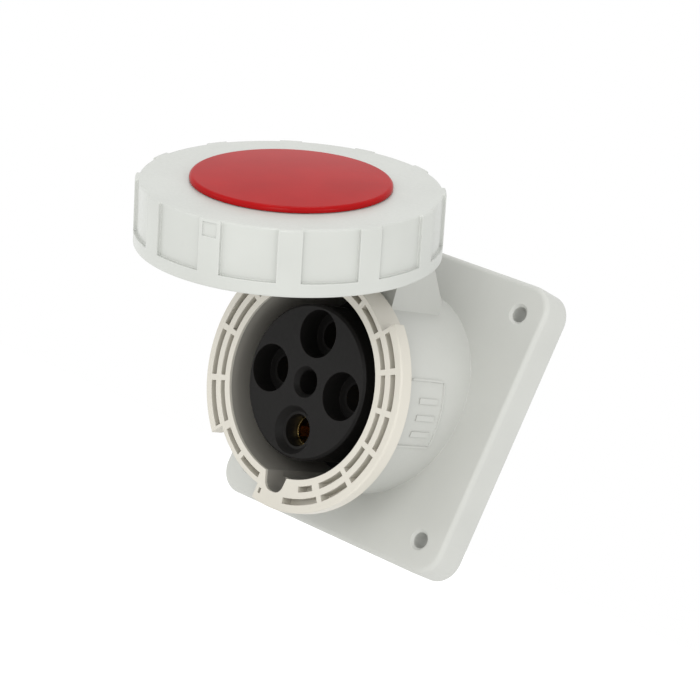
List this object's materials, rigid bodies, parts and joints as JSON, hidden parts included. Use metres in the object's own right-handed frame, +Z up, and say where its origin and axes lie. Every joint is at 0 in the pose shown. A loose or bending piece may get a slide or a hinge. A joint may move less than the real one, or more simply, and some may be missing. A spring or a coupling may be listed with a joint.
{
  "type": "panel socket outlet",
  "caption": "Angled industrial pin-and-sleeve socket on a square flange, with a bayonet collar and a hinged, gasketed lid with a turning grip ring.",
  "frame": {"origin": "centre of the flange's rear face, which lies against the panel", "axes": "+Z up, +X to the right of someone facing the socket, +Y into the panel; the socket faces -Y and 13.5 degrees down"},
  "size_m": [0.114, 0.1507, 0.1355],
  "materials": {
    "housing_grey": "fine moulded texture, light grey",
    "seal_rubber": "matt black rubber",
    "collar_ivory": "satin ivory",
    "liner_grey": "satin grey",
    "carrier_black": "satin black",
    "contact_brass": "turned brass",
    "spring_steel": "bright spring steel",
    "screw_steel": "zinc-plated",
    "pin_steel": "stainless, ground",
    "cap_grey": "light grey",
    "ring_white": "satin off-white",
    "washer_plastic": "slippery natural plastic",
    "cover_red": "glossy signal red"
  },
  "bodies": {
    "root": {"housing": "housing_grey", "flange_gasket": "seal_rubber", "bayonet_collar": "collar_ivory", "collar_seal": "seal_rubber", "shroud_sleeve": "liner_grey", "contact_carrier": "carrier_black", "carrier_base": "carrier_black", "contact_l1": "contact_brass", "contact_l2": "contact_brass", "contact_l3": "contact_brass", "contact_earth": "contact_brass", "contact_pilot": "contact_brass", "contact_springs": "spring_steel", "terminal_screws": "screw_steel", "pilot_terminal_screw": "screw_steel", "carrier_screws": "screw_steel", "hinge_pin": "pin_steel", "friction_washers": "pin_steel"},
    "lid": {"lid_cap": "cap_grey", "lid_gasket": "seal_rubber", "slide_washer": "washer_plastic", "cover_disc": "cover_red", "disc_screws": "screw_steel"},
    "ring": {"bayonet_ring": "ring_white"}
  },
  "joints": [
    {"name": "lid_hinge", "type": "hinge", "parent": "root", "child": "lid", "pos_m": [0, -0.04246, 0.04525], "axis": [-1, 0, 0], "range_deg": [-73.5, 36.5]},
    {"name": "ring_turn", "type": "hinge", "parent": "lid", "child": "ring", "pos_m": [0, -0.10418, 0.05176], "axis": [0, 0.5, -0.866], "range_deg": [0, 45]}
  ]
}
